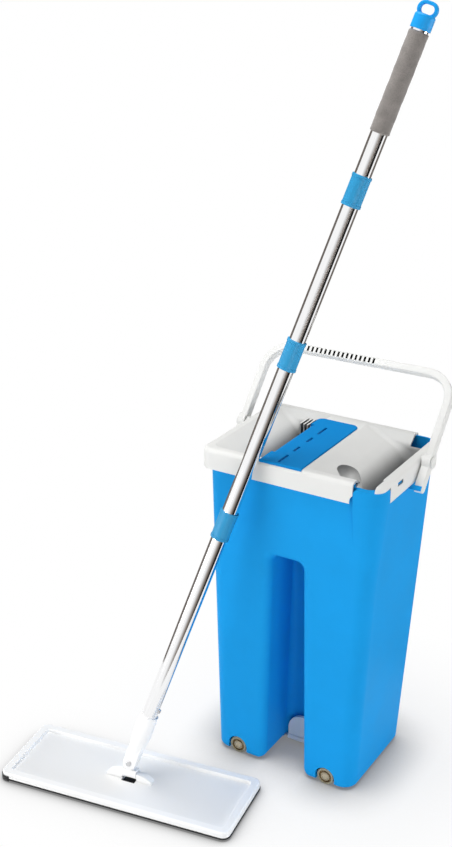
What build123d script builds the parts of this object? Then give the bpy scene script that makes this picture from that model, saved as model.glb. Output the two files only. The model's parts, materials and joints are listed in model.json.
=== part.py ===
from build123d import *
import math
import os

# Flat mop leaning on its two-chamber wringer bucket. Millimetres, +Z up, floor at zero.
# The origin is on the floor under the middle of the bucket's lid; the front faces -Y.

# Bucket body
rim_height = 443.0
leg_clearance = 3.0
width_draw = 44.0
depth_draw = 34.0
bottom_side = -5.0
bottom_shift = -8.0
bottom_rounding = 5.0
body_corner = 19.0
body_wall = 2.5

# Recess between the two legs
recess_centre = -3.9
recess_width = 58.2
recess_draft = 1.2
recess_top = 313.0
recess_back = -14.0
recess_arch = 9.0
recess_back_radius = 12.0
recess_edge_radius = 11.0

# Wringer lid
lid_width = 248.0
lid_depth = 188.0
lid_corner = 14.0
lid_skirt = 27.0
lid_wall = 2.5
lid_deck = 3.0
lid_overhang = 5.5
lid_edge_radius = 6.0
funnel_border = 11.5
funnel_depth = 48.0
funnel_knee_depth = 18.0
funnel_knee_run = 8.0
funnel_knee_radius = 30.0
funnel_end_depth = 11.0
funnel_end_run = 5.0
funnel_end_radius = 10.0
funnel_rounding = 12.0
slot_margin = 30.5
dry_slot_width = 19.0
wash_slot_width = 21.0
bar_width = 9.0
front_notch_width = 37.0
front_notch_depth = 26.5
back_notch_width = 36.0
back_notch_depth = 25.0
spout_drop = 7.0
spout_corner = 6.0
spout_flare = 120.0
pour_radius = 14.0
pour_start_x = 57.0
pour_start_y = -44.0
pour_start_drop = 9.0
pour_end_inset = 22.0
pour_end_drop = 28.0
rib_thickness = 2.0
rib_count = 4
rib_length = 12.0
rib_spread = 7.0
rib_drop = 6.0
latch_length = 15.0
latch_height = 5.0
latch_place = -40.0
latch_drop = 11.0
latch_hold = 1.0

# Scraper panel and blade
panel_centre = -11.0
panel_width = 58.0
panel_back = 66.5
panel_thickness = 3.5
panel_proud = 1.8
panel_corner = 9.0
panel_slot_long = 25.0
panel_slot_short = 16.5
panel_slot_width = 3.4
panel_slot_pitch = 34.0
panel_slot_offset = -4.5
panel_slot_shift = -24.6
lip_back = 40.0
lip_radius = 8.0
lip_thickness = 3.0
lip_drop = 16.0
panel_setback = 1.5
panel_bevel = 0.8
peg_radius = 2.5
blade_thickness = 2.0
blade_height = 20.0

# Carry handle, laid back on its stops
handle_lean = 41.0
handle_pivot_y = 25.4
handle_pivot_drop = 7.3
handle_gap = 2.0
handle_reach = 113.6
handle_thickness = 10.0
handle_depth = 12.5
handle_bend = 35.0
handle_rounding = 2.0
handle_boss_radius = 10.0
handle_tail = 40.4
handle_rib_start = -74.5
handle_rib_pitch = 6.3
handle_rib_count = 16
handle_rib_width = 3.0
handle_rib_depth = 8.0
handle_rib_margin = 1.4
pivot_pin_radius = 4.0
pivot_head_radius = 7.0
pivot_head_thickness = 2.5
stop_length = 3.0
bearing_radius = 6.6

# Wheels
wheel_radius = 12.0
wheel_width = 12.0
wheel_inset = 1.5
wheel_gap = 2.0
wheel_rounding = 1.5
wheel_dish = 3.0
wheel_tread = 3.0
wheel_hub_radius = 6.0
wheel_left = -73.0
wheel_right = 59.0
axle_radius = 2.5
axle_head_radius = 4.2
axle_head = 1.6
boss_wall = 3.0
boss_depth = 12.0
axle_depth = 9.0

# Foot tab
pedal_width = 48.0
pedal_height = 36.0
pedal_thickness = 4.5
pedal_back_gap = 6.0
pedal_corner = 21.0
pedal_pin_radius = 2.0
pedal_lift = 5.0
pedal_boss_radius = 4.0
pedal_boss_start = 2.25

# Mop plate and pad
plate_left = 158.4
plate_stand_off = 120.6
plate_yaw = 8.7
plate_length = 323.0
plate_width = 118.0
plate_corner = 10.0
plate_base = 4.0
plate_rim = 8.0
plate_rim_width = 10.0
plate_rim_taper = 25.0
plate_edge_radius = 2.0
pad_thickness = 5.0
pad_overhang = 1.0
strip_width = 22.0
strip_length = 290.0
strip_thickness = 1.2
strip_spacing = 64.0

# Universal joint of the mop
pole_lean_right = 16.85
lug_length = 22.0
lug_height = 11.0
lug_thickness = 9.0
tilt_pin_rise = 7.2
tilt_pin_radius = 2.2
tilt_pin_length = 38.0
knuckle_radius = 5.2
knuckle_length = 20.0
knuckle_depth = 12.0
plate_slot_width = 19.0
plate_slot_reach = 9.0
knuckle_eye_radius = 6.3
knuckle_eye_width = 8.0
swing_rise = 16.5
swing_pin_radius = 2.2
swing_head_radius = 3.8
swing_head = 1.6
fork_half_width = 8.7
fork_depth = 15.0
fork_length = 42.0
fork_neck = 18.0
neck_shoulder = 0.8

# Pole
tube_radius = 10.0
tube_wall = 0.9
socket_length = 73.0
socket_wall = 1.8
socket_floor = 46.0
socket_bulge = 12.6
coupling_wall = 1.3
coupling_length = 37.0
coupling_lip = 0.5
coupling_lip_length = 3.5
lower_joint = 353.0
middle_joint = 582.0
upper_joint = 786.0
spigot_length = 60.0
spigot_flange = 3.0
spigot_wall = 2.0
grip_start = 854.0
grip_length = 116.0
grip_thickness = 1.7
cap_skirt = 19.0
cap_depth = 14.0
cap_wall = 1.9
cap_crown = 3.0
loop_rounding = 1.2
loop_width = 24.0
loop_height = 18.5
loop_bar = 4.0
loop_thickness = 7.0
button_place = 84.0
button_radius = 3.0
button_stroke = 2.0
button_root = 4.0
button_spring_length = 30.0
button_spring_thickness = 0.6

# Clearances
fit = 0.05
slip = 0.1
gap = 0.4
lean_gap = 0.6
seat_gap = 0.5

# Levels and places worked out from the sizes above
deck_under = rim_height - lid_deck
skirt_bottom = rim_height - lid_skirt
body_top = deck_under
top_width = lid_width - 2 * lid_overhang
top_depth = lid_depth - 2 * lid_overhang
bottom_width = lid_width - width_draw
bottom_depth = lid_depth - depth_draw
slot_length = lid_depth - 2 * slot_margin
front_foot = bottom_shift - bottom_depth / 2
back_foot = bottom_shift + bottom_depth / 2
funnel_bottom = rim_height - funnel_depth
panel_left = panel_centre - panel_width / 2
panel_right = panel_centre + panel_width / 2
panel_top = rim_height + panel_proud
handle_pivot_z = rim_height - handle_pivot_drop
handle_arm_x = lid_width / 2 + handle_gap + handle_thickness / 2
plate_bottom = pad_thickness
plate_floor = plate_bottom + plate_base
plate_top = plate_bottom + plate_rim
tilt_height = plate_floor + tilt_pin_rise
plate_y = -lid_depth / 2 - plate_stand_off
well_radius = wheel_radius + wheel_gap
well_depth = wheel_inset + wheel_width + wheel_gap
recess_left = recess_centre - recess_width / 2
recess_right = recess_centre + recess_width / 2
pedal_axis_y = recess_back - pedal_back_gap - pedal_thickness / 2
pedal_axis_z = leg_clearance + pedal_lift
latch_level = rim_height - latch_drop
dry_edge = -lid_width / 2 + funnel_border
dry_slot_right = panel_left + lip_radius
dry_slot_left = panel_left - dry_slot_width
wash_edge = panel_right + lid_wall
throat_inset = body_wall + seat_gap + lid_wall
right_foot = bottom_side + bottom_width / 2
right_taper = (top_width / 2 - right_foot) / (body_top - leg_clearance)
wash_slot_right = top_width / 2 - right_taper * funnel_depth - throat_inset
wash_slot_left = wash_slot_right - wash_slot_width
lip_front = -slot_length / 2 + seat_gap
spout_left = lid_width / 2 - front_notch_width
spout_back = -lid_depth / 2 + front_notch_depth
spout_top = rim_height - spout_drop
coupling_places = [lower_joint, middle_joint, upper_joint]
pole_end = grip_start + grip_length + cap_skirt - cap_crown


def span(x0, x1, y0, y1, z0, z1):
    return Pos((x0 + x1) / 2, (y0 + y1) / 2, (z0 + z1) / 2) * Box(x1 - x0, y1 - y0, z1 - z0)


def rod_x(x0, x1, y, z, radius):
    return Pos((x0 + x1) / 2, y, z) * Rot(0, 90, 0) * Cylinder(radius, x1 - x0)


def rod_y(x, y0, y1, z, radius):
    return Pos(x, (y0 + y1) / 2, z) * Rot(90, 0, 0) * Cylinder(radius, abs(y1 - y0))


def rod_z(z0, z1, radius):
    return Pos(0, 0, (z0 + z1) / 2) * Cylinder(radius, z1 - z0)


def ring_z(z0, z1, outer, inner):
    return rod_z(z0, z1, outer) - rod_z(z0, z1, inner)


def rounded_slab(width, depth, radius, z0, z1):
    return extrude(Pos(0, 0, z0) * RectangleRounded(width, depth, radius), z1 - z0)


# Bucket

def tapered_prism(plane, low, high, z0, z1, reach):
    outline = Polyline((low[0], z0), (low[1], z0), (high[1], z1), (high[0], z1), close=True)
    return extrude(plane * make_face(outline), reach, both=True)


def recess_cutter(inset):
    # The recess narrows upwards and towards its back wall by the draft.
    below = leg_clearance - 2 * recess_arch
    rise = recess_top + inset - below
    width = recess_width + 2 * inset
    back = recess_back + inset
    base = Pos(recess_centre, back - lid_depth / 2, below) * RectangleRounded(
        width, lid_depth, recess_back_radius + inset)
    cutter = extrude(base, rise, taper=recess_draft)
    return fillet(cutter.faces().sort_by(Axis.Z)[-1].edges(), recess_arch + inset)


def wheel_places():
    return [
        ("front_left", wheel_left, front_foot, 1),
        ("front_right", wheel_right, front_foot, 1),
        ("rear_left", wheel_left, back_foot, -1),
        ("rear_right", wheel_right, back_foot, -1),
    ]


def wheel_well(x, face, inward, inset):
    drop = 3 * well_radius
    lead = bottom_depth / 4
    start = (x, face - inward * lead, wheel_radius - drop / 2)
    mouth = Plane(start, x_dir=(inward, 0, 0), z_dir=(0, inward, 0))
    arch = Rot(0, 0, 90) * SlotCenterToCenter(drop, 2 * (well_radius + inset))
    return extrude(mouth * arch, lead + well_depth + inset)


def body_block(inset, foot, top):
    # The bucket's outer form without its recess and wells, moved inwards by the inset.
    share = (top - leg_clearance) / (body_top - leg_clearance)
    start = (foot - leg_clearance) / (body_top - leg_clearance)
    foot_x = bottom_side * (1 - start)
    top_x = bottom_side * (1 - share)
    foot_y = bottom_shift * (1 - start)
    top_y = bottom_shift * (1 - share)
    foot_half = bottom_width / 2 + start * (top_width - bottom_width) / 2 - inset
    top_half = bottom_width / 2 + share * (top_width - bottom_width) / 2 - inset
    foot_reach = bottom_depth / 2 + start * (top_depth - bottom_depth) / 2 - inset
    top_reach = bottom_depth / 2 + share * (top_depth - bottom_depth) / 2 - inset
    across = tapered_prism(Plane.XZ, (foot_x - foot_half, foot_x + foot_half),
                           (top_x - top_half, top_x + top_half), foot, top, lid_depth)
    along = tapered_prism(Plane.YZ, (foot_y - foot_reach, foot_y + foot_reach),
                          (top_y - top_reach, top_y + top_reach), foot, top, lid_width)
    body = across & along
    uprights = [edge for edge in body.edges() if abs(edge.tangent_at(0.5).Z) > 0.5]
    return fillet(uprights, body_corner - inset)


def leg_body(inset, top):
    foot = leg_clearance + inset
    body = body_block(inset, foot, top)
    body = fillet(body.faces().sort_by(Axis.Z)[0].edges(), bottom_rounding)
    body -= recess_cutter(inset)
    if recess_edge_radius > inset:
        body = fillet(recess_mouth(body, inset), recess_edge_radius - inset)
    for _, x, face, inward in wheel_places():
        body -= wheel_well(x, face, inward, inset)
    return body


def recess_mouth(body, inset):
    # The edges where the recess breaks through the front face.
    return [
        edge for edge in body.edges()
        if abs(edge.center().X - recess_centre) < recess_width / 2 + inset + gap
        and edge.center().Y < recess_back - bottom_depth / 4
        and leg_clearance + inset + gap < edge.center().Z < recess_top + inset + gap
        and abs(edge.tangent_at(0.5).Y) < 0.5
    ]


def handle_place():
    return Pos(0, handle_pivot_y, handle_pivot_z) * Rot(-handle_lean, 0, 0)


def handle_stops():
    # A short rib on each side of the body, in front of the handle's tail, holds the handle at its lean.
    inner = top_width / 2 - 2 * body_wall
    outer = handle_arm_x + handle_thickness / 2
    front = -handle_depth / 2 - gap
    rib = span(inner, outer, front - stop_length, front, -handle_tail, -handle_tail + 2 * stop_length)
    under_skirt = span(-lid_width, lid_width, -lid_depth, lid_depth, 0, skirt_bottom - seat_gap)
    right = (handle_place() * rib) & under_skirt
    return [right, mirror(right, Plane.YZ)]


def latch_teeth():
    # Each tooth stands in the lower part of a window in the lid's skirt and holds the lid down.
    root = top_width / 2 - body_wall
    face = lid_width / 2 - lid_wall + latch_hold
    low = latch_level - latch_height / 2 + gap
    tooth = span(root, face, latch_place - latch_length / 2 + gap, latch_place + latch_length / 2 - gap,
                 low, low + latch_height / 3)
    return [tooth, mirror(tooth, Plane.YZ)]


def spout_block():
    # The corner under the lid's opening swells out until it is flush with the lid's skirt.
    outline = RectangleRounded(lid_width, lid_depth, body_corner + lid_overhang)
    flare_end = skirt_bottom - spout_flare
    flare_draw = lid_overhang + right_taper * (body_top - flare_end) + gap
    block = extrude(Pos(0, 0, skirt_bottom) * outline, spout_top - seat_gap - skirt_bottom)
    block += extrude(Pos(0, 0, skirt_bottom) * outline, -spout_flare,
                     taper=math.degrees(math.atan2(flare_draw, spout_flare)))
    corner = span(spout_left + seat_gap, lid_width, -lid_depth, spout_back - seat_gap,
                  flare_end, spout_top - seat_gap)
    ends = [
        edge for edge in corner.faces().sort_by(Axis.Z)[-1].edges()
        if edge.center().X < spout_left + 2 * seat_gap or edge.center().Y > spout_back - 2 * seat_gap
    ]
    return block & fillet(ends, spout_corner)


def bucket_shell():
    cavity = leg_body(body_wall, body_top + body_wall)
    shell = leg_body(0, body_top) - cavity
    for _, x, face, inward in wheel_places():
        wall = face + inward * well_depth
        shell += rod_y(x, wall + inward * body_wall / 2, wall + inward * boss_depth, wheel_radius,
                       axle_radius + boss_wall)
        shell -= rod_y(x, wall - inward * gap, wall + inward * axle_depth, wheel_radius, axle_radius)
    left_boss = (recess_left - boss_depth, recess_left - pedal_boss_start)
    right_boss = (recess_right + pedal_boss_start, recess_right + boss_depth)
    for start, end in (left_boss, right_boss):
        shell += rod_x(start, end, pedal_axis_y, pedal_axis_z, pedal_boss_radius)
    shell -= rod_x(recess_left - axle_depth, recess_right + axle_depth, pedal_axis_y, pedal_axis_z,
                   pedal_pin_radius)
    for extra in handle_stops() + latch_teeth() + [spout_block()]:
        shell += extra - cavity
    shell -= span(spout_left, lid_width, -lid_depth, spout_back, spout_top - seat_gap, body_top + body_wall)
    return shell


def wheel(x, face, inward):
    start = face + inward * wheel_inset
    end = start + inward * wheel_width
    roller = rod_y(x, start, end, wheel_radius, wheel_radius)
    rims = roller.edges().filter_by(GeomType.CIRCLE)
    roller = fillet(rims, wheel_rounding)
    groove = rod_y(x, start, start + inward * wheel_dish, wheel_radius, wheel_radius - wheel_tread)
    hub = rod_y(x, start, start + inward * wheel_dish, wheel_radius, wheel_hub_radius)
    bore = rod_y(x, start - inward * gap, end + inward * gap, wheel_radius, axle_radius + fit)
    seat_floor = start + inward * (axle_head + gap)
    seat = rod_y(x, start - inward * gap, seat_floor, wheel_radius, axle_head_radius + gap)
    return roller - (groove - hub) - bore - seat


def axle(x, face, inward):
    start = face + inward * wheel_inset
    end = face + inward * (well_depth + axle_depth)
    pin = rod_y(x, start, end, wheel_radius, axle_radius)
    head = rod_y(x, start, start + inward * axle_head, wheel_radius, axle_head_radius)
    return pin + head


def foot_pedal():
    width = pedal_width
    tab = Plane((recess_centre, pedal_axis_y + pedal_thickness / 2, pedal_axis_z + pedal_height / 2),
                x_dir=(1, 0, 0), z_dir=(0, -1, 0))
    plate = extrude(tab * Rectangle(width, pedal_height), pedal_thickness)
    tops = [edge for edge in plate.edges().filter_by(Axis.Y)
            if edge.center().Z > pedal_axis_z + pedal_height - gap]
    plate = fillet(tops, pedal_corner)
    barrel = rod_x(recess_centre - width / 2, recess_centre + width / 2, pedal_axis_y, pedal_axis_z,
                   pedal_pin_radius + pedal_lift / 2)
    bore = rod_x(recess_left, recess_right, pedal_axis_y, pedal_axis_z, pedal_pin_radius + fit)
    return plate + barrel - bore


def pedal_pin():
    return rod_x(recess_left - axle_depth, recess_right + axle_depth, pedal_axis_y, pedal_axis_z,
                 pedal_pin_radius)


# Wringer lid

def funnel_side(edge, knee, slot_left, slot_right, floor):
    # Outline across the funnel: a gentle slope, a rounded knee, then a steep drop beside the slot.
    outline = FilletPolyline((edge, rim_height), knee, (slot_left, floor), radius=funnel_knee_radius)
    rest = Polyline((slot_left, floor), (slot_right, floor), (slot_right, rim_height + lid_skirt),
                    (edge, rim_height + lid_skirt), (edge, rim_height))
    return make_face([outline, rest])


def funnel_ends(floor):
    # Outline along the funnel: both ends round over and drop to the ends of the slot.
    end = lid_depth / 2 - funnel_border
    slot = slot_length / 2
    level = rim_height - funnel_end_depth
    front = FilletPolyline((-end, rim_height), (-slot - funnel_end_run, level), (-slot, floor),
                           radius=funnel_end_radius)
    back = FilletPolyline((end, rim_height), (slot + funnel_end_run, level), (slot, floor),
                          radius=funnel_end_radius)
    top = Polyline((-end, rim_height), (-end, rim_height + lid_skirt), (end, rim_height + lid_skirt),
                   (end, rim_height))
    bottom = Line((-slot, floor), (slot, floor))
    return make_face([front, bottom, back, top])


def funnel(edge, slot_left, slot_right, grow):
    floor = funnel_bottom - 2 * lid_wall
    knee = (slot_left - funnel_knee_run, rim_height - funnel_knee_depth)
    side = funnel_side(edge, knee, slot_left, slot_right, floor)
    ends = funnel_ends(floor)
    if grow:
        side = offset(side, grow, kind=Kind.INTERSECTION)
        ends = offset(ends, grow, kind=Kind.INTERSECTION)
    across = extrude(Plane.XZ * side, lid_depth, both=True)
    along = extrude(Plane.YZ * ends, lid_width, both=True)
    bowl = across & along
    mitres = [
        line for line in bowl.edges()
        if line.center().X < slot_left and 0.02 < abs(line.tangent_at(0.5).Y) < 0.9
    ]
    return fillet(mitres, funnel_rounding + grow) & throat(grow)


def throat(grow):
    # Everything that hangs into the bucket stays inside this outline, clear of the bucket's wall.
    return body_block(throat_inset - grow, funnel_bottom - 4 * lid_wall, rim_height + 4 * lid_wall)


def pour_channel(radius):
    start = Vector(pour_start_x, pour_start_y, rim_height - pour_start_drop)
    end = Vector(lid_width / 2 - pour_end_inset, -lid_depth / 2, rim_height - pour_end_drop)
    way = end - start
    trough = Plane(start, z_dir=way) * (Pos(0, 0, way.length / 2) * Cylinder(radius, way.length))
    return trough + Pos(start) * Sphere(radius)


def lid_tray():
    half = lid_width / 2
    back = lid_depth / 2
    cap = rounded_slab(lid_width, lid_depth, lid_corner, skirt_bottom, rim_height)
    cap = fillet(cap.faces().sort_by(Axis.Z)[-1].edges(), lid_edge_radius)
    cap -= rounded_slab(lid_width - 2 * lid_wall, lid_depth - 2 * lid_wall, lid_corner - lid_wall,
                        skirt_bottom - lid_wall, deck_under)
    limits = span(-half, half, -back, back, funnel_bottom, rim_height)
    under_deck = span(0, half, -back, back, funnel_bottom, deck_under) & throat(lid_wall)
    dry = funnel(dry_edge, dry_slot_left, dry_slot_right, 0)
    wash = funnel(wash_edge, wash_slot_left, lid_width, 0)
    tray = cap
    tray += funnel(dry_edge, dry_slot_left, dry_slot_right, lid_wall) & limits
    tray += funnel(wash_edge, wash_slot_left, lid_width, lid_wall) & limits
    tray += pour_channel(pour_radius + lid_wall) & under_deck
    tray -= dry
    tray -= wash
    tray -= pour_channel(pour_radius)
    rib_gap = (dry_slot_width + rib_spread) / (rib_count + 1)
    rib_front = slot_length / 2 - rib_length
    for step in range(rib_count):
        x = dry_slot_left - rib_spread + rib_gap * (step + 1)
        rib = span(x - rib_thickness / 2, x + rib_thickness / 2, rib_front, back, funnel_bottom,
                   rim_height - rib_drop)
        tray += rib & dry
    below = funnel_bottom - lid_wall
    tray -= span(spout_left, half - bar_width, -back, spout_back, below, rim_height)
    tray -= span(spout_left, half, -back, spout_back, below, spout_top)
    tray -= span(half - back_notch_width, half, back - back_notch_depth, back, below, rim_height)
    window = span(half - 2 * lid_wall, half, latch_place - latch_length / 2, latch_place + latch_length / 2,
                  latch_level - latch_height / 2, latch_level + latch_height / 2)
    bearing = rod_x(half - lid_wall, half + handle_gap - gap, handle_pivot_y, handle_pivot_z, bearing_radius)
    bore = rod_x(half - 2 * lid_wall, half + handle_gap, handle_pivot_y, handle_pivot_z, pivot_pin_radius)
    tray += bearing
    tray += mirror(bearing, Plane.YZ)
    for cut in (window, bore):
        tray -= cut
        tray -= mirror(cut, Plane.YZ)
    tray -= panel_outline(rim_height - panel_thickness + panel_proud, rim_height + panel_thickness)
    for peg in panel_pegs(peg_radius + slip, deck_under - lid_wall):
        tray -= peg
    return tray


def panel_outline(z0, z1):
    front = -lid_depth / 2 + panel_setback
    width = panel_right - panel_left
    place = Pos(panel_centre, (front + panel_back) / 2, z0)
    slab = extrude(place * Rectangle(width, panel_back - front), z1 - z0)
    rear = [edge for edge in slab.edges().filter_by(Axis.Z) if edge.center().Y > panel_back - gap]
    return fillet(rear, panel_corner)


def panel_lip():
    # The panel's left edge rolls over and hangs into the dry slot.
    left = panel_left
    inner = left + lip_thickness
    bend = lip_radius
    drop = panel_top - lip_drop
    roll = lip_radius - lip_thickness
    middle = (left + bend, panel_top - bend)
    profile = make_face([
        CenterArc(middle, bend, 90, 90),
        Line((left, panel_top - bend), (left, drop)),
        Line((left, drop), (inner, drop)),
        Line((inner, drop), (inner, panel_top - bend)),
        CenterArc(middle, roll, 90, 90),
        Line((left + bend, panel_top - lip_thickness), (left + bend, panel_top)),
    ])
    end = Plane((0, lip_back, 0), x_dir=(1, 0, 0), z_dir=(0, -1, 0))
    return extrude(end * profile, lip_back - lip_front)


def panel_pegs(radius, bottom):
    reach = panel_slot_pitch * 1.5
    return [
        Pos(panel_centre + panel_width / 4, y, 0) * rod_z(bottom, rim_height, radius)
        for y in (-reach, 0, reach)
    ]


def scraper_panel():
    panel = panel_outline(rim_height - panel_thickness + panel_proud, panel_top)
    panel = chamfer(panel.faces().sort_by(Axis.Z)[-1].edges(), panel_bevel)
    panel -= span(panel_left - gap, panel_left + lip_radius, lip_front, lip_back, 0, panel_top + gap)
    panel += panel_lip()
    slot_lengths = [panel_slot_long, panel_slot_short, panel_slot_short, panel_slot_long]
    first = panel_slot_shift - panel_slot_pitch * (len(slot_lengths) - 1) / 2
    for step, length in enumerate(slot_lengths):
        place = Pos(panel_centre + panel_slot_offset, first + step * panel_slot_pitch, rim_height)
        slot = place * Rot(0, 0, 90) * SlotOverall(length, panel_slot_width)
        panel -= extrude(slot, panel_thickness, both=True)
    for peg in panel_pegs(peg_radius, deck_under - lid_wall):
        panel += peg & span(-lid_width, lid_width, -lid_depth, lid_depth, 0, rim_height)
    return panel


def scraper_blade():
    left = panel_left + (lip_thickness - blade_thickness) / 2
    top = panel_top - lip_drop
    return span(left, left + blade_thickness, lip_front, lip_back, top - blade_height, top)


# Carry handle

def handle_arm(x):
    boss = rod_x(x - handle_thickness / 2, x + handle_thickness / 2, 0, 0, handle_boss_radius)
    tail = span(x - handle_thickness / 2, x + handle_thickness / 2, -handle_depth / 2, handle_depth / 2,
                -handle_tail + handle_depth / 2, 0)
    tip = rod_x(x - handle_thickness / 2, x + handle_thickness / 2, 0, -handle_tail + handle_depth / 2,
                handle_depth / 2)
    return boss + tail + tip


def carry_handle():
    left_top = (-handle_arm_x, 0, handle_reach)
    right_top = (handle_arm_x, 0, handle_reach)
    path = FilletPolyline((-handle_arm_x, 0, 0), left_top, right_top, (handle_arm_x, 0, 0),
                          radius=handle_bend)
    section = Pos(-handle_arm_x, 0, 0) * RectangleRounded(handle_thickness, handle_depth, handle_rounding)
    bail = sweep(section, path=path)
    bail += handle_arm(-handle_arm_x)
    bail += handle_arm(handle_arm_x)
    for step in range(handle_rib_count):
        x = handle_rib_start + step * handle_rib_pitch
        height = handle_thickness - 2 * handle_rib_margin
        bail -= span(x - handle_rib_width / 2, x + handle_rib_width / 2, -handle_depth / 2,
                     -handle_depth / 2 + handle_rib_depth, handle_reach - height / 2,
                     handle_reach + height / 2)
    for x in (-handle_arm_x, handle_arm_x):
        bail -= rod_x(x - handle_thickness, x + handle_thickness, 0, 0, pivot_pin_radius + fit)
    return handle_place() * bail


def handle_pin():
    inner = lid_width / 2 - lid_wall
    outer = handle_arm_x + handle_thickness / 2 + gap
    pin = rod_x(inner, outer + pivot_head_thickness, handle_pivot_y, handle_pivot_z, pivot_pin_radius)
    head = rod_x(outer, outer + pivot_head_thickness, handle_pivot_y, handle_pivot_z, pivot_head_radius)
    rim = head.edges().filter_by(GeomType.CIRCLE).sort_by(Axis.X)[-1]
    return pin + fillet(rim, pivot_head_thickness / 2)


# Mop head, in the plate's own frame: origin on the floor under the plate's middle, X along the plate

def mop_place():
    return Pos(-plate_left, plate_y, 0) * Rot(0, 0, plate_yaw)


def mop_pad():
    length = plate_length + 2 * pad_overhang
    width = plate_width + 2 * pad_overhang
    pad = rounded_slab(length, width, plate_corner + pad_overhang, 0, pad_thickness)
    rims = pad.faces().sort_by(Axis.Z)[-1].edges()
    return mop_place() * fillet(rims, pad_thickness / 4)


def strip_slabs():
    top = plate_bottom + strip_thickness
    half = strip_length / 2
    return [
        span(-half, half, y - strip_width / 2, y + strip_width / 2, plate_bottom, top)
        for y in (-strip_spacing / 2, strip_spacing / 2)
    ]


def hook_strips():
    return mop_place() * Compound(children=strip_slabs())


def mop_plate():
    plate = rounded_slab(plate_length, plate_width, plate_corner, plate_bottom, plate_top)
    plate = fillet(plate.faces().sort_by(Axis.Z)[-1].edges(), plate_edge_radius)
    inner = plate_length - 2 * plate_rim_width
    across = plate_width - 2 * plate_rim_width
    plate -= extrude(Pos(0, 0, plate_top) * RectangleRounded(inner, across, plate_corner / 2),
                     -(plate_rim - plate_base), taper=plate_rim_taper)
    for slab in strip_slabs():
        plate -= slab
    plate -= span(-plate_slot_width / 2, plate_slot_width / 2, -plate_slot_reach, plate_slot_reach,
                  plate_bottom, plate_top)
    inside = knuckle_length / 2 + gap
    quarter = Plane.XZ * make_face([
        EllipticalCenterArc((inside, plate_floor), lug_length, lug_height, 0, arc_size=90),
        Line((inside, plate_floor + lug_height), (inside, plate_floor)),
        Line((inside, plate_floor), (inside + lug_length, plate_floor)),
    ])
    lug = extrude(quarter, lug_thickness / 2, both=True)
    plate += lug
    plate += mirror(lug, Plane.YZ)
    plate -= rod_x(-tilt_pin_length / 2, tilt_pin_length / 2, 0, tilt_height, tilt_pin_radius)
    return mop_place() * plate


def tilt_pin():
    return mop_place() * rod_x(-tilt_pin_length / 2, tilt_pin_length / 2, 0, tilt_height, tilt_pin_radius)


def pole_reach(back):
    # How far the leaning pole's axis passes in front of the lid's front edge at this backward lean.
    upright = mop_place() * Pos(0, 0, tilt_height) * Rot(-back, 0, 0) * Pos(0, 0, swing_rise)
    pole = upright * Rot(0, pole_lean_right, 0)
    foot = pole.position
    way = (pole * Pos(0, 0, 1)).position - foot
    across = math.hypot(way.Y, way.Z)
    return ((-lid_depth / 2 - foot.Y) * way.Z - (rim_height - foot.Z) * way.Y) / across


def lean_to_rim():
    # The backward lean at which the tube just stands clear of the lid's front edge.
    upright, fallen = 0.0, 60.0
    for _ in range(50):
        middle = (upright + fallen) / 2
        if pole_reach(middle) > tube_radius + lean_gap:
            upright = middle
        else:
            fallen = middle
    return upright


pole_lean_back = lean_to_rim()


def knuckle_place():
    return mop_place() * Pos(0, 0, tilt_height) * Rot(-pole_lean_back, 0, 0)


def pole_place():
    return knuckle_place() * Pos(0, 0, swing_rise) * Rot(0, pole_lean_right, 0)


def joint_knuckle():
    half = knuckle_length / 2
    barrel = rod_x(-half, half, 0, 0, knuckle_radius)
    cheek = knuckle_eye_width / 2
    eye = rod_y(0, -cheek, cheek, swing_rise, knuckle_eye_radius)
    web = span(-knuckle_eye_radius, knuckle_eye_radius, -cheek, cheek, 0, swing_rise)
    block = span(-half, half, -knuckle_depth / 2, knuckle_depth / 2, 0, swing_rise - fork_half_width - gap)
    knuckle = barrel + eye + web + block
    knuckle -= rod_x(-half, half, 0, 0, tilt_pin_radius + fit)
    knuckle -= rod_y(0, -fork_depth, fork_depth, swing_rise, swing_pin_radius + fit)
    return knuckle_place() * knuckle


# Pole, in its own frame: origin at the swing pin, Z up the pole

def swing_pin():
    half = fork_depth / 2
    pin = rod_y(0, -half, half, 0, swing_pin_radius)
    head = rod_y(0, -half - swing_head, -half, 0, swing_head_radius)
    rim = head.edges().filter_by(GeomType.CIRCLE).sort_by(Axis.Y)[0]
    return pole_place() * (pin + fillet(rim, swing_head / 2))


def pole_socket():
    bore = tube_radius + slip
    collar = bore + socket_wall
    fork_top = (fork_length + socket_length) / 2
    fork = span(-fork_half_width, fork_half_width, -fork_depth / 2, fork_depth / 2, 0, fork_top)
    fork += rod_y(0, -fork_depth / 2, fork_depth / 2, 0, fork_half_width)
    upward = (Align.CENTER, Align.CENTER, Align.MIN)
    barrel = Pos(0, 0, fork_length) * Cone(socket_bulge, collar, socket_length - fork_length, align=upward)
    neck = Pos(0, 0, fork_neck) * Cone(fork_half_width + neck_shoulder, socket_bulge,
                                       fork_length - fork_neck, align=upward)
    socket = fork + barrel + neck
    cheek_gap = knuckle_eye_width / 2 + gap
    top = knuckle_eye_radius + 2 * gap
    socket -= span(-lid_width, lid_width, -cheek_gap, cheek_gap, -lid_width, top)
    socket -= rod_z(socket_floor, socket_length, bore)
    socket -= rod_y(0, -fork_depth, fork_depth, 0, swing_pin_radius)
    return pole_place() * socket


def tube_ends(index):
    start = socket_floor if index == 0 else coupling_places[index - 1] + spigot_flange / 2
    end = pole_end - cap_wall if index == len(coupling_places) else coupling_places[index] - spigot_flange / 2
    return start, end


def pole_tube(index):
    start, end = tube_ends(index)
    body = ring_z(start, end, tube_radius, tube_radius - tube_wall)
    if index == 0:
        body -= rod_x(0, 2 * tube_radius, 0, button_place, button_radius + fit)
    return pole_place() * body


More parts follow.
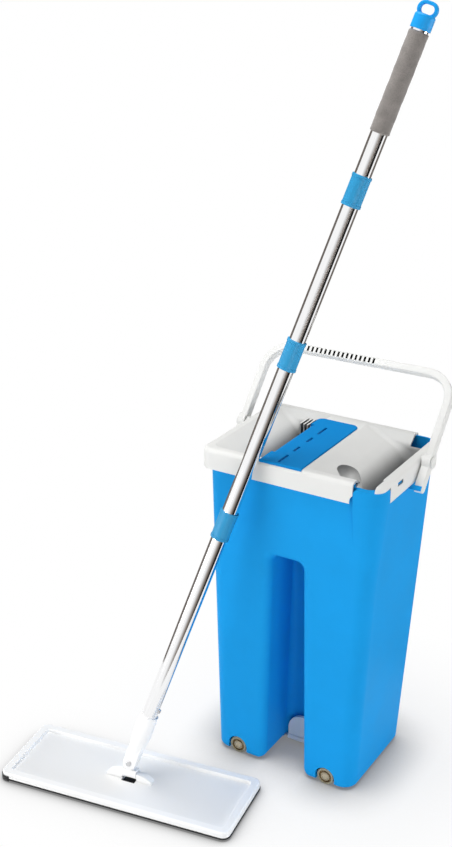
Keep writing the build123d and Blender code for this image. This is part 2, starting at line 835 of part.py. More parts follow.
def spigot(place):
    core = tube_radius - tube_wall - slip
    plug = ring_z(place - spigot_length / 2, place + spigot_length / 2, core, core - spigot_wall)
    flange = ring_z(place - spigot_flange / 2, place + spigot_flange / 2, tube_radius, core - spigot_wall)
    return pole_place() * (plug + flange)


def coupling(place):
    half = coupling_length / 2
    outer = tube_radius + slip + coupling_wall
    sleeve = rod_z(place - half, place + half, outer)
    for low in (place - half, place + half - coupling_lip_length):
        lip = rod_z(low, low + coupling_lip_length, outer + coupling_lip)
        sleeve += fillet(lip.edges().filter_by(GeomType.CIRCLE), coupling_lip / 2)
    return pole_place() * (sleeve - rod_z(place - half, place + half, tube_radius + slip))


def foam_grip():
    outer = tube_radius + slip + grip_thickness
    sleeve = rod_z(grip_start, grip_start + grip_length, outer)
    sleeve = fillet(sleeve.edges().filter_by(GeomType.CIRCLE), grip_thickness / 2)
    return pole_place() * (sleeve - rod_z(grip_start, grip_start + grip_length, tube_radius + slip))


def end_cap():
    outer = tube_radius + slip + cap_wall
    low = pole_end - cap_depth
    cup = rod_z(low, pole_end + cap_crown, outer)
    cup = fillet(cup.edges().filter_by(GeomType.CIRCLE).sort_by(Axis.Z)[-1], cap_crown)
    middle = pole_end + cap_crown + loop_height / 2 - loop_bar
    loop_plane = Plane((0, loop_thickness / 2, middle), x_dir=(1, 0, 0), z_dir=(0, -1, 0))
    eye = loop_plane * SlotOverall(loop_width - 2 * loop_bar, loop_height - 2 * loop_bar)
    loop = extrude(loop_plane * SlotOverall(loop_width, loop_height), loop_thickness)
    loop -= extrude(eye, loop_thickness)
    loop = fillet(loop.edges().filter_by(Plane.XZ), loop_rounding)
    cup -= rod_z(low, pole_end - cap_wall, tube_radius + slip)
    cup -= extrude(eye, 2 * loop_width, both=True)
    return pole_place() * (cup + loop)


def spring_button():
    face = tube_radius + button_stroke
    stem = rod_x(tube_radius - button_root, face, 0, button_place, button_radius)
    dome = stem.edges().filter_by(GeomType.CIRCLE).sort_by(Axis.X)[-1]
    return pole_place() * fillet(dome, button_stroke / 2)


def button_spring():
    right = tube_radius - button_root
    left = right - button_spring_thickness
    half = button_radius
    return pole_place() * span(left, right, -half, half, button_place - button_spring_length / 2,
                               button_place + button_spring_length / 2)


# Every piece under its own name

def all_nodes():
    nodes = {
        "bucket_shell": bucket_shell(),
        "lid_tray": lid_tray(),
        "scraper_panel": scraper_panel(),
        "scraper_blade": scraper_blade(),
        "carry_handle": carry_handle(),
        "handle_pin_right": handle_pin(),
        "handle_pin_left": mirror(handle_pin(), Plane.YZ),
        "foot_pedal": foot_pedal(),
        "pedal_pin": pedal_pin(),
        "mop_pad": mop_pad(),
        "hook_strips": hook_strips(),
        "mop_plate": mop_plate(),
        "tilt_pin": tilt_pin(),
        "joint_knuckle": joint_knuckle(),
        "swing_pin": swing_pin(),
        "pole_socket": pole_socket(),
        "spring_button": spring_button(),
        "button_spring": button_spring(),
        "foam_grip": foam_grip(),
        "end_cap": end_cap(),
    }
    for name, x, face, inward in wheel_places():
        nodes["wheel_" + name] = wheel(x, face, inward)
        nodes["axle_" + name] = axle(x, face, inward)
    for index, place in enumerate(coupling_places):
        nodes["coupling_" + str(index + 1)] = coupling(place)
        nodes["spigot_" + str(index + 1)] = spigot(place)
    for index in range(len(coupling_places) + 1):
        nodes["tube_" + str(index + 1)] = pole_tube(index)
    return nodes


def write(nodes):
    os.makedirs("parts", exist_ok=True)
    for name, solid in nodes.items():
        export_step(solid, "parts/" + name + ".step")


if __name__ == "__main__":
    write(all_nodes())
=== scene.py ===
import json
import math

import bpy
from mathutils import Matrix, Vector


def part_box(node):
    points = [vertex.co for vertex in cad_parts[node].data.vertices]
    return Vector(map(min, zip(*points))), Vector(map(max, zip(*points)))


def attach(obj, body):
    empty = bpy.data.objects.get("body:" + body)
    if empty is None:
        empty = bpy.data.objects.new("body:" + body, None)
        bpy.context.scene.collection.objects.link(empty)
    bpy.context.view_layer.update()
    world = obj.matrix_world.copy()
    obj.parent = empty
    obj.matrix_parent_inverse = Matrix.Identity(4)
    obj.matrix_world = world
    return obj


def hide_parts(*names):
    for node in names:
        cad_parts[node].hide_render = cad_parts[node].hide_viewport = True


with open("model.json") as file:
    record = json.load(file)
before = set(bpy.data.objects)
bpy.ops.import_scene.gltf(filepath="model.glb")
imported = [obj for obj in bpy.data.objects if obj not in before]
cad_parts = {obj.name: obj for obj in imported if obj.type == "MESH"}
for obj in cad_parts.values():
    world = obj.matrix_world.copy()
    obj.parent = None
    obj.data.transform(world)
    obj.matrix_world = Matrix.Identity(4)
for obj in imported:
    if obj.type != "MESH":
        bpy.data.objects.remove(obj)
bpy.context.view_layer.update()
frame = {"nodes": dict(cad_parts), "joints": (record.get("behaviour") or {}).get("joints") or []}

# Flat mop leaning over its wringer bucket. Metres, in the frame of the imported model.

nodes = frame["nodes"]
joints = {joint["name"]: joint for joint in frame["joints"]}
scene = bpy.context.scene

# View, in metres and pixels
camera_place = Vector((0.68178, -1.35106, 1.07947))
camera_target = Vector((-0.14150, -0.00284, 0.43866))
focal_pixels = 1306.39
image_height = 847
sensor_height = 36.0
view_reach = 50.0

# Colours, linear
bucket_blue = (0.009, 0.325, 0.765)
panel_blue = (0.003, 0.240, 0.620)
coupling_blue = (0.024, 0.305, 0.590)
cap_blue = (0.004, 0.330, 0.790)
lid_white = (0.780, 0.782, 0.765)
mop_white = (0.960, 0.960, 0.955)
tread_tan = (0.340, 0.320, 0.235)
dish_brown = (0.340, 0.240, 0.120)
hub_tan = (0.430, 0.370, 0.260)
foam_grey = (0.265, 0.242, 0.226)
binding_black = (0.014, 0.014, 0.015)
pile_grey = (0.180, 0.185, 0.190)
hook_black = (0.030, 0.030, 0.033)
rubber_black = (0.022, 0.022, 0.024)
tube_silver = (0.930, 0.930, 0.935)
steel_grey = (0.620, 0.620, 0.630)
reflected_card_brown = (0.160, 0.140, 0.125)
# Painted shade for the hollows of the lid and the handle
painted_shade_grey = (0.040, 0.040, 0.040)
floor_white = (0.930, 0.930, 0.930)
white = (1.0, 1.0, 1.0)

# Wheel zones as radii in metres, and the levels of the mop plate's floor and rim, between which the painted
# shade of its hollow fades out
wheel_radius = 0.012
dish_start = 0.006
dish_end = 0.009
plate_hollow_top = 0.0095
plate_rim_start = 0.0125

# Foam grip: mesh counts, the share of the wall that its ends round off, and its small unevenness
grip_rows = 90
grip_columns = 96
grip_rounding_share = 0.9
grip_slack = 0.0002
grip_waves = ((0.00012, 260.0, 0.0), (0.00008, 611.0, 1.3))
grip_dent = 0.00006
grip_dent_rate = 90.0
grip_dent_count = 3

# Mop pad: mesh counts, the bound sheet, and the pile set back below it
pad_rings = 10
pad_corner = 0.011
pad_corner_points = 10
pad_side_points = 60
band_height = 0.0028
band_slack = 0.00015
pile_setback = 0.0045
pile_bulge = 0.0016
pile_lift = 0.0002
pile_fullness = 0.95
pile_tuft = 0.00012
pile_tuft_rates = (700.0, 900.0)

# Elastic tab at the pad's corner
tab_thickness = 0.0008
tab_crown = 1.2
tab_radius = 0.010
tab_end = 0.010 / 3
tab_foot = 0.0015
tab_rise = 0.0088
tab_slack = 0.0003
tab_steps = 12

# Studio: the low lamps share a height and a target, and each has its place, length and power
fill_strength = 0.25
low_lamp_height = 0.2
low_lamp_depth = 0.34
low_lamp_target = (0.0, 0.0, 0.25)
low_lamps = [
    ("front_right", 1.9, -1.9, 2.0, 23.0),
    ("front", -1.6, -2.1, 1.6, 21.0),
    ("right", 2.4, 1.2, 1.6, 20.0),
    ("left", -2.6, 0.2, 1.8, 12.0),
    ("back", 0.2, 2.6, 1.8, 12.0),
]

# Floor: the share of plain glow by the distance from the middle, and the shadow painted into the glow close
# to the object
floor_half = 6.0
glow_share = 0.78
glow_start = 0.12
glow_end = 0.34
painted_shadow_reach = 0.07
painted_shadow_closed = 0.4
painted_shadow_open = 0.97
painted_shadow_grey = 0.22

# Glowing studio cards beside the pole, in the pole's frame: painted reflections that only reflections show
card_distance = 0.5
card_ends = (-0.1, 1.2)


def set_input(node, name, value):
    node.inputs[name].default_value = value


def rgba(colour):
    return (*colour, 1.0)


# Materials

def start_material(name):
    material = bpy.data.materials.new(name)
    material.use_nodes = True
    tree = material.node_tree
    shader = tree.nodes["Principled BSDF"]
    return material, tree, shader


def object_points(tree):
    return tree.nodes.new("ShaderNodeTexCoord").outputs["Object"]


def noise(tree, points, scale, detail=3.0, roughness=0.55):
    node = tree.nodes.new("ShaderNodeTexNoise")
    set_input(node, "Scale", scale)
    set_input(node, "Detail", detail)
    set_input(node, "Roughness", roughness)
    tree.links.new(points, node.inputs["Vector"])
    return node.outputs["Fac"]


def spread(tree, value, low, high, start=0.3, end=0.7):
    node = tree.nodes.new("ShaderNodeMapRange")
    set_input(node, "From Min", start)
    set_input(node, "From Max", end)
    set_input(node, "To Min", low)
    set_input(node, "To Max", high)
    tree.links.new(value, node.inputs["Value"])
    return node.outputs["Result"]


def tint(tree, value, dark, light):
    node = tree.nodes.new("ShaderNodeMix")
    node.data_type = "RGBA"
    node.inputs["A"].default_value = rgba(dark)
    node.inputs["B"].default_value = rgba(light)
    tree.links.new(value, node.inputs["Factor"])
    return node.outputs["Result"]


def multiplied(tree, first, second):
    node = tree.nodes.new("ShaderNodeMix")
    node.data_type = "RGBA"
    node.blend_type = "MULTIPLY"
    set_input(node, "Factor", 1.0)
    tree.links.new(first, node.inputs["A"])
    tree.links.new(second, node.inputs["B"])
    return node.outputs["Result"]


def banded(tree, value, stops):
    # Each stop is a place from 0 to 1 and its colour.
    node = tree.nodes.new("ShaderNodeValToRGB")
    ramp = node.color_ramp.elements
    while len(ramp) < len(stops):
        ramp.new(1.0)
    for element, (place, colour) in zip(ramp, stops):
        element.position = place
        element.color = rgba(colour)
    tree.links.new(value, node.inputs["Fac"])
    return node.outputs["Color"]


def relief(tree, shader, heights):
    # Each entry is a height signal, its depth in metres and its strength, from coarse to fine.
    normal = None
    for height, depth, strength in heights:
        bump = tree.nodes.new("ShaderNodeBump")
        set_input(bump, "Distance", depth)
        set_input(bump, "Strength", strength)
        tree.links.new(height, bump.inputs["Height"])
        if normal:
            tree.links.new(normal, bump.inputs["Normal"])
        normal = bump.outputs["Normal"]
    tree.links.new(normal, shader.inputs["Normal"])


def shade(colour, factor):
    return tuple(min(1.0, channel * factor) for channel in colour)


def mould_finish(tree, shader, points, clouds, roughness, gloss):
    # Injection-moulded surface: fine spark-eroded grain, slow sink waves and a soft gloss that varies.
    grains = noise(tree, points, 2600.0, detail=2.0)
    waves = noise(tree, points, 60.0, detail=1.0)
    tree.links.new(spread(tree, clouds, roughness - 0.05, roughness + 0.05), shader.inputs["Roughness"])
    relief(tree, shader, [(waves, 0.0004, 0.06), (grains, 0.00004, 0.12)])
    set_input(shader, "IOR", 1.49)
    set_input(shader, "Specular IOR Level", gloss)


def moulded_plastic(name, colour, roughness, gloss=0.3, variation=0.04, painted_shade=None):
    # Painted shade greys the hollows by how enclosed a surface is: how deep it looks, in metres, and the open
    # shares where it is full and gone.
    material, tree, shader = start_material(name)
    points = object_points(tree)
    clouds = noise(tree, points, 9.0, detail=4.0)
    patches = spread(tree, clouds, 0.0, 1.0)
    colours = tint(tree, patches, shade(colour, 1 - variation), shade(colour, 1 + variation))
    if painted_shade:
        hollow = tree.nodes.new("ShaderNodeAmbientOcclusion")
        hollow.only_local = True
        depth, closed, open_share = painted_shade
        set_input(hollow, "Distance", depth)
        painted_shading = tree.nodes.new("ShaderNodeMix")
        painted_shading.data_type = "RGBA"
        painted_shading.inputs["A"].default_value = rgba(painted_shade_grey)
        unshaded_share = spread(tree, hollow.outputs["AO"], 0.0, 1.0, closed, open_share)
        tree.links.new(unshaded_share, painted_shading.inputs["Factor"])
        tree.links.new(colours, painted_shading.inputs["B"])
        colours = painted_shading.outputs["Result"]
    tree.links.new(colours, shader.inputs["Base Color"])
    mould_finish(tree, shader, points, clouds, roughness, gloss)
    return material


def plate_plastic(name):
    # The hollow of the plate is painted a little darker than its raised rim: painted shade in the recess.
    material, tree, shader = start_material(name)
    points = object_points(tree)
    clouds = noise(tree, points, 9.0, detail=4.0)
    parts = tree.nodes.new("ShaderNodeSeparateXYZ")
    tree.links.new(points, parts.inputs["Vector"])
    height = spread(tree, parts.outputs["Z"], 0.0, 1.0, plate_hollow_top, plate_rim_start)
    tree.links.new(tint(tree, height, shade(mop_white, 0.93), mop_white), shader.inputs["Base Color"])
    mould_finish(tree, shader, points, clouds, 0.42, 0.3)
    return material


def wheel_plastic(name, centre):
    # Light tread and hub with a browner dish between them.
    material, tree, shader = start_material(name)
    points = object_points(tree)
    clouds = noise(tree, points, 240.0, detail=4.0)
    away = tree.nodes.new("ShaderNodeVectorMath")
    away.operation = "DISTANCE"
    away.inputs[1].default_value = (centre[0], 0.0, centre[2])
    tree.links.new(stretch(tree, points, (1.0, 0.0, 1.0)), away.inputs[0])
    stops = [(0.0, hub_tan), (0.92 * dish_start, hub_tan), (1.08 * dish_start, dish_brown),
             (0.97 * dish_end, dish_brown), (1.06 * dish_end, tread_tan)]
    reach = spread(tree, away.outputs["Value"], 0.0, 1.0, 0.0, wheel_radius)
    zones = banded(tree, reach, [(place / wheel_radius, colour) for place, colour in stops])
    dust = tint(tree, spread(tree, clouds, 0.0, 1.0), shade(white, 0.78), white)
    tree.links.new(multiplied(tree, zones, dust), shader.inputs["Base Color"])
    mould_finish(tree, shader, points, clouds, 0.5, 0.25)
    return material


def along_pole(tree, points):
    # Turns the object's coordinates so that Z runs up the pole.
    turn = tree.nodes.new("ShaderNodeMapping")
    turn.vector_type = "TEXTURE"
    turn.inputs["Location"].default_value = pole_foot
    turn.inputs["Rotation"].default_value = pole_turn.to_euler()
    tree.links.new(points, turn.inputs["Vector"])
    return turn.outputs["Vector"]


def stretch(tree, points, factors):
    node = tree.nodes.new("ShaderNodeVectorMath")
    node.operation = "MULTIPLY"
    node.inputs[1].default_value = factors
    tree.links.new(points, node.inputs[0])
    return node.outputs["Vector"]


def polished_tube(name):
    # Polished steel tube: mirror finish with faint lengthwise drawing lines and light smudges.
    material, tree, shader = start_material(name)
    points = along_pole(tree, object_points(tree))
    lines = noise(tree, stretch(tree, points, (1.0, 1.0, 0.012)), 2600.0, detail=2.0)
    smudges = noise(tree, points, 38.0, detail=5.0)
    colours = tint(tree, spread(tree, lines, 0.0, 1.0), shade(tube_silver, 0.94), shade(tube_silver, 1.03))
    tree.links.new(colours, shader.inputs["Base Color"])
    tree.links.new(spread(tree, smudges, 0.05, 0.10), shader.inputs["Roughness"])
    relief(tree, shader, [(lines, 0.00002, 0.25)])
    set_input(shader, "Metallic", 1.0)
    return material


def drawn_steel(name):
    material, tree, shader = start_material(name)
    points = object_points(tree)
    lines = noise(tree, points, 3200.0, detail=3.0)
    colours = tint(tree, lines, shade(steel_grey, 0.85), shade(steel_grey, 1.1))
    tree.links.new(colours, shader.inputs["Base Color"])
    tree.links.new(spread(tree, lines, 0.20, 0.36), shader.inputs["Roughness"])
    relief(tree, shader, [(lines, 0.00003, 0.3)])
    set_input(shader, "Metallic", 1.0)
    return material


def rubber(name):
    material, tree, shader = start_material(name)
    points = object_points(tree)
    bloom = noise(tree, points, 40.0, detail=4.0)
    grains = noise(tree, points, 2200.0)
    tree.links.new(tint(tree, bloom, rubber_black, shade(rubber_black, 2.2)), shader.inputs["Base Color"])
    tree.links.new(spread(tree, bloom, 0.55, 0.72), shader.inputs["Roughness"])
    relief(tree, shader, [(grains, 0.00006, 0.4)])
    return material


def foam(name):
    # Closed-cell foam: small rounded cells, a dusty sheen and slightly darker pits.
    material, tree, shader = start_material(name)
    points = object_points(tree)
    cells = tree.nodes.new("ShaderNodeTexVoronoi")
    set_input(cells, "Scale", 950.0)
    tree.links.new(points, cells.inputs["Vector"])
    pits = cells.outputs["Distance"]
    dust = noise(tree, points, 70.0, detail=5.0)
    shades = tint(tree, spread(tree, dust, 0.0, 1.0), shade(foam_grey, 0.86), shade(foam_grey, 1.14))
    walls = tint(tree, spread(tree, pits, 1.0, 0.0, 0.0, 0.9), shade(white, 0.72), white)
    tree.links.new(multiplied(tree, shades, walls), shader.inputs["Base Color"])
    set_input(shader, "Roughness", 0.88)
    set_input(shader, "Sheen Weight", 0.25)
    set_input(shader, "Sheen Roughness", 0.5)
    relief(tree, shader, [(dust, 0.0004, 0.2), (pits, 0.0003, 0.5)])
    return material


def cloth(name, colour, rib_scale, sheen):
    # Short-pile cloth: crossed ribs of yarn with fluff between them.
    material, tree, shader = start_material(name)
    points = object_points(tree)
    fluff = noise(tree, points, 1400.0, detail=5.0, roughness=0.7)
    patches = noise(tree, points, 55.0, detail=3.0)
    ribs = tree.nodes.new("ShaderNodeTexWave")
    ribs.bands_direction = "DIAGONAL"
    set_input(ribs, "Scale", rib_scale)
    set_input(ribs, "Distortion", 2.5)
    tree.links.new(points, ribs.inputs["Vector"])
    colours = tint(tree, spread(tree, patches, 0.0, 1.0), shade(colour, 0.8), shade(colour, 1.2))
    tree.links.new(colours, shader.inputs["Base Color"])
    set_input(shader, "Roughness", 0.95)
    set_input(shader, "Sheen Weight", sheen)
    relief(tree, shader, [(ribs.outputs["Fac"], 0.0006, 0.5), (fluff, 0.0005, 0.6)])
    return material


# The pole's own frame, read from the joints and the grip: Z runs up the pole from the swing pin

pole_foot = Vector(joints["head_swing"]["pos_m"])
grip_low, grip_high = (Vector(corner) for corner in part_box("foam_grip"))
pole_up = ((grip_low + grip_high) / 2 - pole_foot).normalized()
pole_across = Vector(joints["head_swing"]["axis"]).normalized()
pole_side = pole_across.cross(pole_up).normalized()
pole_turn = Matrix((pole_side, pole_across, pole_up)).transposed()
pole_frame = Matrix.Translation(pole_foot) @ pole_turn.to_4x4()

# The mop plate's own frame: X along the plate, on the floor under its middle

plate_low, plate_high = (Vector(corner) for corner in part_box("mop_plate"))
plate_x = Vector(joints["head_tilt"]["axis"]).normalized()
plate_z = Vector((0.0, 0.0, 1.0))
plate_y = plate_z.cross(plate_x)
plate_turn = Matrix((plate_x, plate_y, plate_z)).transposed()
plate_middle = (plate_low + plate_high) / 2
plate_frame = Matrix.Translation((plate_middle.x, plate_middle.y, 0.0)) @ plate_turn.to_4x4()


def reach_in(node, place):
    # Lowest and highest corner of a node in another frame.
    back = place.inverted()
    points = [back @ vertex.co for vertex in nodes[node].data.vertices]
    low = Vector(tuple(min(point[axis] for point in points) for axis in range(3)))
    high = Vector(tuple(max(point[axis] for point in points) for axis in range(3)))
    return low, high


def new_piece(name, mesh, body, material):
    piece = bpy.data.objects.new(name, mesh)
    scene.collection.objects.link(piece)
    piece.data.materials.append(material)
    for face in mesh.polygons:
        face.use_smooth = True
    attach(piece, body)
    return piece


def mesh_from(name, vertices, faces, place):
    mesh = bpy.data.meshes.new(name)
    mesh.from_pydata([place @ Vector(vertex) for vertex in vertices], [], faces)
    mesh.update()
    return mesh


def rings_mesh(name, rings, place, closed):
    # Skins equal rings of points; closed joins the last ring to the first, otherwise both ends are capped.
    count = len(rings[0])
    vertices = [point for ring in rings for point in ring]
    faces = []
    last = len(rings) if closed else len(rings) - 1
    for row in range(last):
        following = (row + 1) % len(rings)
        for step in range(count):
            onward = (step + 1) % count
            faces.append((row * count + step, row * count + onward,
                          following * count + onward, following * count + step))
    if not closed:
        top = len(vertices) - count
        faces.append(tuple(reversed(range(count))))
        faces.append(tuple(range(top, top + count)))
    return mesh_from(name, vertices, faces, place)


# Foam grip

def grip_piece(material):
    low, high = reach_in("foam_grip", pole_frame)
    bore = reach_in("tube_4", pole_frame)[1].x
    radius = high.x
    length = high.z - low.z
    rounding = (radius - bore) * grip_rounding_share
    profile = [(bore, low.z)]
    for row in range(grip_rows + 1):
        z = low.z + length * row / grip_rows
        edge = min(z - low.z, high.z - z)
        inset = 0.0
        if edge < rounding:
            inset = rounding - math.sqrt(max(0.0, rounding ** 2 - (rounding - edge) ** 2))
        wave = sum(depth * math.sin(z * rate + start) for depth, rate, start in grip_waves)
        profile.append((radius - inset - grip_slack + wave, z))
    profile.append((bore, high.z))
    rings = []
    for reach, z in profile:
        ring = []
        for step in range(grip_columns):
            angle = 2 * math.pi * step / grip_columns
            dent = grip_dent * math.sin(grip_dent_count * angle + z * grip_dent_rate)
            ring.append(((reach + dent) * math.cos(angle), (reach + dent) * math.sin(angle), z))
        rings.append(ring)
    mesh = rings_mesh("foam_sleeve", rings, pole_frame, True)
    piece = new_piece("foam_sleeve", mesh, "pole", material)
    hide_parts("foam_grip")


# Mop pad

def rounded_outline(half_x, half_y, radius, per_corner, per_side):
    # Points round a rectangle with rounded corners, evenly spread along its sides.
    points = []
    corners = [(1, 1, 0.0), (-1, 1, 90.0), (-1, -1, 180.0), (1, -1, 270.0)]
    for index, (sx, sy, start) in enumerate(corners):
        cx = sx * (half_x - radius)
        cy = sy * (half_y - radius)
        for step in range(per_corner + 1):
            angle = math.radians(start + 90.0 * step / per_corner)
            points.append((cx + radius * math.cos(angle), cy + radius * math.sin(angle)))
        nx, ny, nstart = corners[(index + 1) % 4]
        ahead = (nx * (half_x - radius) + radius * math.cos(math.radians(nstart)),
                 ny * (half_y - radius) + radius * math.sin(math.radians(nstart)))
        here = points[-1]
        for step in range(1, per_side):
            share = step / per_side
            points.append((here[0] + (ahead[0] - here[0]) * share, here[1] + (ahead[1] - here[1]) * share))
    return points


def edge_ring(half_x, half_y, inset, z):
    outline = rounded_outline(half_x - inset, half_y - inset, pad_corner - inset / 2,
                              pad_corner_points, pad_side_points)
    return [(x, y, z) for x, y in outline]


def pad_pieces(pile, binding):
    # A dark bound sheet lies under the plate, with the thick pile set back below it.
    low, high = reach_in("mop_pad", plate_frame)
    half_x = (high.x - low.x) / 2
    half_y = (high.y - low.y) / 2
    top = high.z
    angles = [math.pi * (step / pad_rings - 0.5) for step in range(pad_rings + 1)]
    middle = (top - band_height) / 2 + pile_lift
    rate_x, rate_y = pile_tuft_rates
    rings = []
    for angle in angles:
        outline = edge_ring(half_x, half_y, pile_setback - pile_bulge * math.cos(angle),
                            middle + middle * pile_fullness * math.sin(angle))
        rings.append([(x, y, z + pile_tuft * math.sin(x * rate_x) * math.sin(y * rate_y))
                      for x, y, z in outline])
    mesh = rings_mesh("pad_pile", rings, plate_frame, False)
    body = new_piece("pad_pile", mesh, "mop_head", pile)
    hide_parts("mop_pad")
    half_band = band_height / 2
    rings = [edge_ring(half_x, half_y, half_band * (1 - math.cos(angle)),
                       top - half_band + (half_band - band_slack) * math.sin(angle))
             for angle in angles]
    mesh = rings_mesh("pad_binding", rings, plate_frame, False)
    new_piece("pad_binding", mesh, "mop_head", binding)


def corner_tab(binding):
    # A short elastic tab of the pad, folded up over the plate's front left corner.
    low = reach_in("mop_plate", plate_frame)[0]
    x = low.x
    y = low.y
    outer = tab_radius + tab_slack
    path = [(x - tab_slack, y + tab_radius + tab_end, -1.0, 0.0)]
    for step in range(tab_steps + 1):
        angle = math.radians(180.0 + 90.0 * step / tab_steps)
        nx = math.cos(angle)
        ny = math.sin(angle)
        path.append((x + tab_radius + outer * nx, y + tab_radius + outer * ny, nx, ny))
    path.append((x + tab_radius + tab_end, y - tab_slack, 0.0, -1.0))
    section = ((0.0, tab_foot), (tab_thickness, tab_foot), (tab_crown * tab_thickness, tab_rise / 2),
               (tab_thickness, tab_rise), (0.0, tab_rise))
    rings = [[(px + nx * out, py + ny * out, z) for out, z in section] for px, py, nx, ny in path]
    mesh = rings_mesh("pad_tab", rings, plate_frame, False)
    new_piece("pad_tab", mesh, "mop_head", binding)


# Surroundings

def add_area(name, place, target, size, power):
    light = bpy.data.lights.new(name, "AREA")
    light.shape = "RECTANGLE"
    light.size = size[0]
    light.size_y = size[1]
    light.energy = power
    lamp = bpy.data.objects.new(name, light)
    lamp.location = place
    lamp.rotation_euler = (Vector(target) - Vector(place)).to_track_quat("-Z", "Y").to_euler()
    lamp.visible_camera = False
    scene.collection.objects.link(lamp)


def sight(tree):
    # One for rays that show the surroundings themselves: straight, mirrored or through glass.
    path = tree.nodes.new("ShaderNodeLightPath")
    value = path.outputs["Is Camera Ray"]
    for ray in ("Is Glossy Ray", "Is Transmission Ray"):
        either = tree.nodes.new("ShaderNodeMath")
        either.operation = "MAXIMUM"
        tree.links.new(value, either.inputs[0])
        tree.links.new(path.outputs[ray], either.inputs[1])
        value = either.outputs["Value"]
    return value


def add_world():
    world = bpy.data.worlds.new("studio")
    scene.world = world
    world.use_nodes = True
    tree = world.node_tree
    tree.nodes.clear()
    output = tree.nodes.new("ShaderNodeOutputWorld")
    seen = tree.nodes.new("ShaderNodeBackground")
    fill = tree.nodes.new("ShaderNodeBackground")
    mix = tree.nodes.new("ShaderNodeMixShader")
    set_input(seen, "Color", rgba(white))
    set_input(seen, "Strength", 1.0)
    set_input(fill, "Color", rgba(white))
    set_input(fill, "Strength", fill_strength)
    tree.links.new(sight(tree), mix.inputs["Fac"])
    tree.links.new(fill.outputs["Background"], mix.inputs[1])
    tree.links.new(seen.outputs["Background"], mix.inputs[2])
    tree.links.new(mix.outputs["Shader"], output.inputs["Surface"])


def add_lamps():
    # A soft lamp overhead, and low ones all round for the upright faces, which don't reach into the lid.
    add_area("top", (-0.6, -0.2, 2.7), (0.0, 0.0, 0.35), (1.8, 1.8), 54.0)
    for name, x, y, length, power in low_lamps:
        add_area(name, (x, y, low_lamp_height), low_lamp_target, (length, low_lamp_depth), power)


def add_floor():
    # What is seen of the floor is mostly a white glow with a shadow painted into it, grey where something is
    # close above it. The lit
    # # floor with its cast shadow shows through by a small share near the middle, and not at all further out.
    corners = [(-floor_half, -floor_half, 0), (floor_half, -floor_half, 0),
               (floor_half, floor_half, 0), (-floor_half, floor_half, 0)]
    mesh = mesh_from("floor", corners, [(0, 1, 2, 3)], Matrix.Identity(4))
    floor = bpy.data.objects.new("floor", mesh)
    scene.collection.objects.link(floor)
    material, tree, shader = start_material("floor_white")
    points = object_points(tree)
    colours = tint(tree, noise(tree, points, 30.0), shade(floor_white, 0.99), floor_white)
    tree.links.new(colours, shader.inputs["Base Color"])
    set_input(shader, "Roughness", 0.9)
    set_input(shader, "Specular IOR Level", 0.1)
    away = tree.nodes.new("ShaderNodeVectorMath")
    away.operation = "LENGTH"
    tree.links.new(points, away.inputs[0])
    rise = spread(tree, away.outputs["Value"], glow_share, 1.0, glow_start, glow_end)
    share = tree.nodes.new("ShaderNodeMath")
    share.operation = "MULTIPLY"
    tree.links.new(rise, share.inputs[0])
    tree.links.new(sight(tree), share.inputs[1])
    # Painted shadow: the glow turns grey where the object closes over the floor.
    painted_shadow = tree.nodes.new("ShaderNodeAmbientOcclusion")
    set_input(painted_shadow, "Distance", painted_shadow_reach)
    clear = spread(tree, painted_shadow.outputs["AO"], 0.0, 1.0, painted_shadow_closed, painted_shadow_open)
    glow = tree.nodes.new("ShaderNodeEmission")
    tree.links.new(tint(tree, clear, shade(white, painted_shadow_grey), white), glow.inputs["Color"])
    set_input(glow, "Strength", 1.0)
    mix = tree.nodes.new("ShaderNodeMixShader")
    tree.links.new(share.outputs["Value"], mix.inputs["Fac"])
    tree.links.new(shader.outputs["BSDF"], mix.inputs[1])
    tree.links.new(glow.outputs["Emission"], mix.inputs[2])
    tree.links.new(mix.outputs["Shader"], tree.nodes["Material Output"].inputs["Surface"])
    floor.data.materials.append(material)


def add_card(name, start, end, columns, stops):
    # A glowing studio card beside the pole that only reflections show: a painted reflection, which lights
    # nothing else and casts no shadow. The angles are about the pole, from its front.
    vertices = []
    for step in range(columns + 1):
        angle = math.radians(start + (end - start) * step / columns)
        for z in card_ends:
            vertices.append((card_distance * math.sin(angle), -card_distance * math.cos(angle), z))
    faces = [(2 * step, 2 * step + 2, 2 * step + 3, 2 * step + 1) for step in range(columns)]
    card = bpy.data.objects.new(name, mesh_from(name, vertices, faces, Matrix.Identity(4)))
    card.matrix_world = pole_frame
    scene.collection.objects.link(card)
    material, tree, _ = start_material(name)
    across = tree.nodes.new("ShaderNodeSeparateXYZ")
    tree.links.new(tree.nodes.new("ShaderNodeTexCoord").outputs["Generated"], across.inputs["Vector"])
    shades = banded(tree, across.outputs["X"], stops)
    glow = tree.nodes.new("ShaderNodeEmission")
    tree.links.new(shades, glow.inputs["Color"])
    tree.links.new(glow.outputs["Emission"], tree.nodes["Material Output"].inputs["Surface"])
    card.data.materials.append(material)
    for ray in ("camera", "diffuse", "transmission", "volume_scatter", "shadow"):
        setattr(card, "visible_" + ray, False)


def add_cards():
    # Painted reflections for the tubes: a card fading from white through brown to black beside them, and a
    # brown one behind.
    black = shade(white, 0.008)
    painted_reflection_bands = [(0.0, white), (0.15, shade(white, 0.85)), (0.28, shade(white, 0.62)),
              (0.44, shade(reflected_card_brown, 2.0)), (0.56, reflected_card_brown), (0.66, shade(reflected_card_brown, 0.25)),
              (0.76, black), (1.0, black)]
    add_card("side_reflection_card", 0.0, 92.0, 1, painted_reflection_bands)
    add_card("back_reflection_card", 119.0, 277.0, 24, [(0.0, reflected_card_brown), (1.0, reflected_card_brown)])


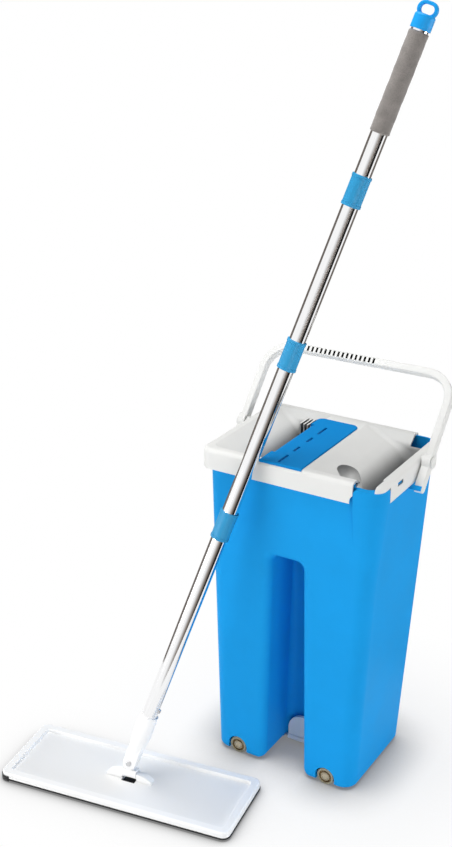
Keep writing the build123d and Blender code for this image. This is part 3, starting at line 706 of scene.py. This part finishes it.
def add_camera():
    data = bpy.data.cameras.new("camera")
    data.sensor_fit = "VERTICAL"
    data.sensor_height = sensor_height
    data.lens = focal_pixels * sensor_height / image_height
    data.clip_end = view_reach
    camera = bpy.data.objects.new("camera", data)
    camera.location = camera_place
    camera.rotation_euler = (camera_target - camera_place).to_track_quat("-Z", "Y").to_euler()
    scene.collection.objects.link(camera)
    scene.camera = camera


def dress(names, material):
    for name in names:
        mesh = nodes[name].data
        mesh.materials.clear()
        mesh.materials.append(material)


def named(start):
    return [name for name in nodes if name.startswith(start)]


def dress_nodes():
    # The lid gets painted shade in its funnels and hollows.
    lid = moulded_plastic("lid_white", lid_white, 0.45, painted_shade=(0.06, 0.0, 1.0))
    mop = moulded_plastic("mop_white", mop_white, 0.40)
    steel = drawn_steel("drawn_steel")
    dress(["bucket_shell"], moulded_plastic("bucket_blue", bucket_blue, 0.50, gloss=0.05))
    dress(["scraper_panel"], moulded_plastic("panel_blue", panel_blue, 0.46, gloss=0.06))
    dress(["end_cap"], moulded_plastic("cap_blue", cap_blue, 0.42))
    dress(named("coupling_"), moulded_plastic("coupling_blue", coupling_blue, 0.42))
    dress(["lid_tray", "handle_pin_left", "handle_pin_right", "foot_pedal"], lid)
    # The handle gets painted shade in its slots.
    dress(["carry_handle"], moulded_plastic("handle_white", lid_white, 0.45, painted_shade=(0.008, 0.25, 0.55)))
    dress(["mop_plate"], plate_plastic("plate_white"))
    dress(["pole_socket", "joint_knuckle"], mop)
    for name in named("wheel_"):
        centre = joints[name.replace("wheel_", "wheel_spin_")]["pos_m"]
        dress([name], wheel_plastic(name + "_tan", centre))
    dress(named("axle_"), moulded_plastic("hub_tan", hub_tan, 0.5, variation=0.12))
    dress(named("tube_"), polished_tube("polished_tube"))
    dress(["pedal_pin", "tilt_pin", "swing_pin", "spring_button", "button_spring"], steel)
    dress(named("spigot_"), moulded_plastic("spigot_grey", shade(steel_grey, 0.4), 0.55))
    dress(["scraper_blade"], rubber("blade_rubber"))
    dress(["hook_strips"], cloth("hook_tape", hook_black, 900.0, 0.1))


add_camera()
add_world()
add_lamps()
add_floor()
add_cards()
dress_nodes()
grip_piece(foam("foam_grey"))
edging = cloth("pad_binding", binding_black, 700.0, 0.1)
pad_pieces(cloth("pad_pile", pile_grey, 260.0, 0.5), edging)
corner_tab(edging)

scene.view_settings.view_transform = "Standard"
